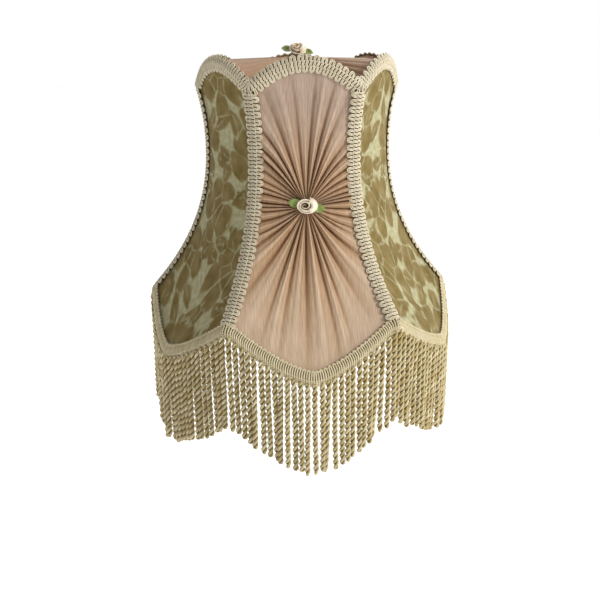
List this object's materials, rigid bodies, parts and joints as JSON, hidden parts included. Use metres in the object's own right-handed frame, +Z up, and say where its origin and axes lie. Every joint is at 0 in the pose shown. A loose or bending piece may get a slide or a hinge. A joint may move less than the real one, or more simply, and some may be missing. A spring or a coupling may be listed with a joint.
{
  "type": "lamp shade",
  "caption": "Bell-shaped panelled lamp shade in gathered silk and burnt-out velvet, with arched top, scalloped hem, braid edging, ribbon roses and a twisted bullion fringe.",
  "frame": {"origin": "centre of the fitter ring's underside, where the ring sits on the lampholder", "axes": "+Z up along the shade's axis, -Y towards the front silk panel, +X to its right as seen from the front"},
  "size_m": [0.2694, 0.275, 0.3253],
  "materials": {
    "frame_wire": "cream enamel on 3 mm steel wire",
    "fitter_brass": "plain, slightly dull",
    "cotton_lining": "plain ivory cotton, matte",
    "silk_chiffon": "pink-beige silk chiffon, soft sheen",
    "burnout_velvet": "olive-gold pile flowers on a pale sheer ground",
    "gimp_braid": "ivory scroll gimp, soft sheen",
    "fringe_rayon": "straw rayon cord, soft sheen",
    "rose_ribbon": "ivory-peach satin ribbon",
    "leaf_ribbon": "moss green satin ribbon"
  },
  "bodies": {
    "shade": {"top_scallop_wire": "frame_wire", "bottom_scallop_wire": "frame_wire", "rib_wire_1": "frame_wire", "rib_wire_2": "frame_wire", "rib_wire_3": "frame_wire", "rib_wire_4": "frame_wire", "rib_wire_5": "frame_wire", "rib_wire_6": "frame_wire", "fitter_ring": "fitter_brass", "fitter_arm_1": "frame_wire", "fitter_arm_2": "frame_wire", "fitter_arm_3": "frame_wire", "lining_1": "cotton_lining", "lining_2": "cotton_lining", "lining_3": "cotton_lining", "lining_4": "cotton_lining", "lining_5": "cotton_lining", "lining_6": "cotton_lining", "silk_panel_1": "silk_chiffon", "silk_panel_2": "silk_chiffon", "silk_panel_3": "silk_chiffon", "velvet_panel_1": "burnout_velvet", "velvet_panel_2": "burnout_velvet", "velvet_panel_3": "burnout_velvet", "top_cover": "silk_chiffon", "top_lining": "cotton_lining", "rib_gimp_1": "gimp_braid", "rib_gimp_2": "gimp_braid", "rib_gimp_3": "gimp_braid", "rib_gimp_4": "gimp_braid", "rib_gimp_5": "gimp_braid", "rib_gimp_6": "gimp_braid", "top_gimp": "gimp_braid", "fringe_header": "fringe_rayon", "fringe_top_1": "fringe_rayon", "fringe_top_2": "fringe_rayon", "fringe_top_3": "fringe_rayon", "fringe_top_4": "fringe_rayon", "fringe_top_5": "fringe_rayon", "fringe_top_6": "fringe_rayon", "leaves_1": "leaf_ribbon", "leaves_2": "leaf_ribbon", "leaves_3": "leaf_ribbon", "rose_1": "rose_ribbon", "rose_2": "rose_ribbon", "rose_3": "rose_ribbon", "top_leaves": "leaf_ribbon", "top_rose": "rose_ribbon"},
    "fringe_1": {"fringe_skirt_1": "fringe_rayon"},
    "fringe_2": {"fringe_skirt_2": "fringe_rayon"},
    "fringe_3": {"fringe_skirt_3": "fringe_rayon"},
    "fringe_4": {"fringe_skirt_4": "fringe_rayon"},
    "fringe_5": {"fringe_skirt_5": "fringe_rayon"},
    "fringe_6": {"fringe_skirt_6": "fringe_rayon"}
  },
  "joints": [
    {"name": "fringe_swing_1", "type": "hinge", "parent": "shade", "child": "fringe_1", "pos_m": [0, -0.12552, -0.1585], "axis": [-1, 0, 0], "range_deg": [0, 20]},
    {"name": "fringe_swing_2", "type": "hinge", "parent": "shade", "child": "fringe_2", "pos_m": [0.1087, -0.06276, -0.1585], "axis": [-0.5, -0.866, 0], "range_deg": [0, 20]},
    {"name": "fringe_swing_3", "type": "hinge", "parent": "shade", "child": "fringe_3", "pos_m": [0.1087, 0.06276, -0.1585], "axis": [0.5, -0.866, 0], "range_deg": [0, 20]},
    {"name": "fringe_swing_4", "type": "hinge", "parent": "shade", "child": "fringe_4", "pos_m": [0, 0.12552, -0.1585], "axis": [1, 0, 0], "range_deg": [0, 20]},
    {"name": "fringe_swing_5", "type": "hinge", "parent": "shade", "child": "fringe_5", "pos_m": [-0.1087, 0.06276, -0.1585], "axis": [0.5, 0.866, 0], "range_deg": [0, 20]},
    {"name": "fringe_swing_6", "type": "hinge", "parent": "shade", "child": "fringe_6", "pos_m": [-0.1087, -0.06276, -0.1585], "axis": [-0.5, 0.866, 0], "range_deg": [0, 20]}
  ]
}
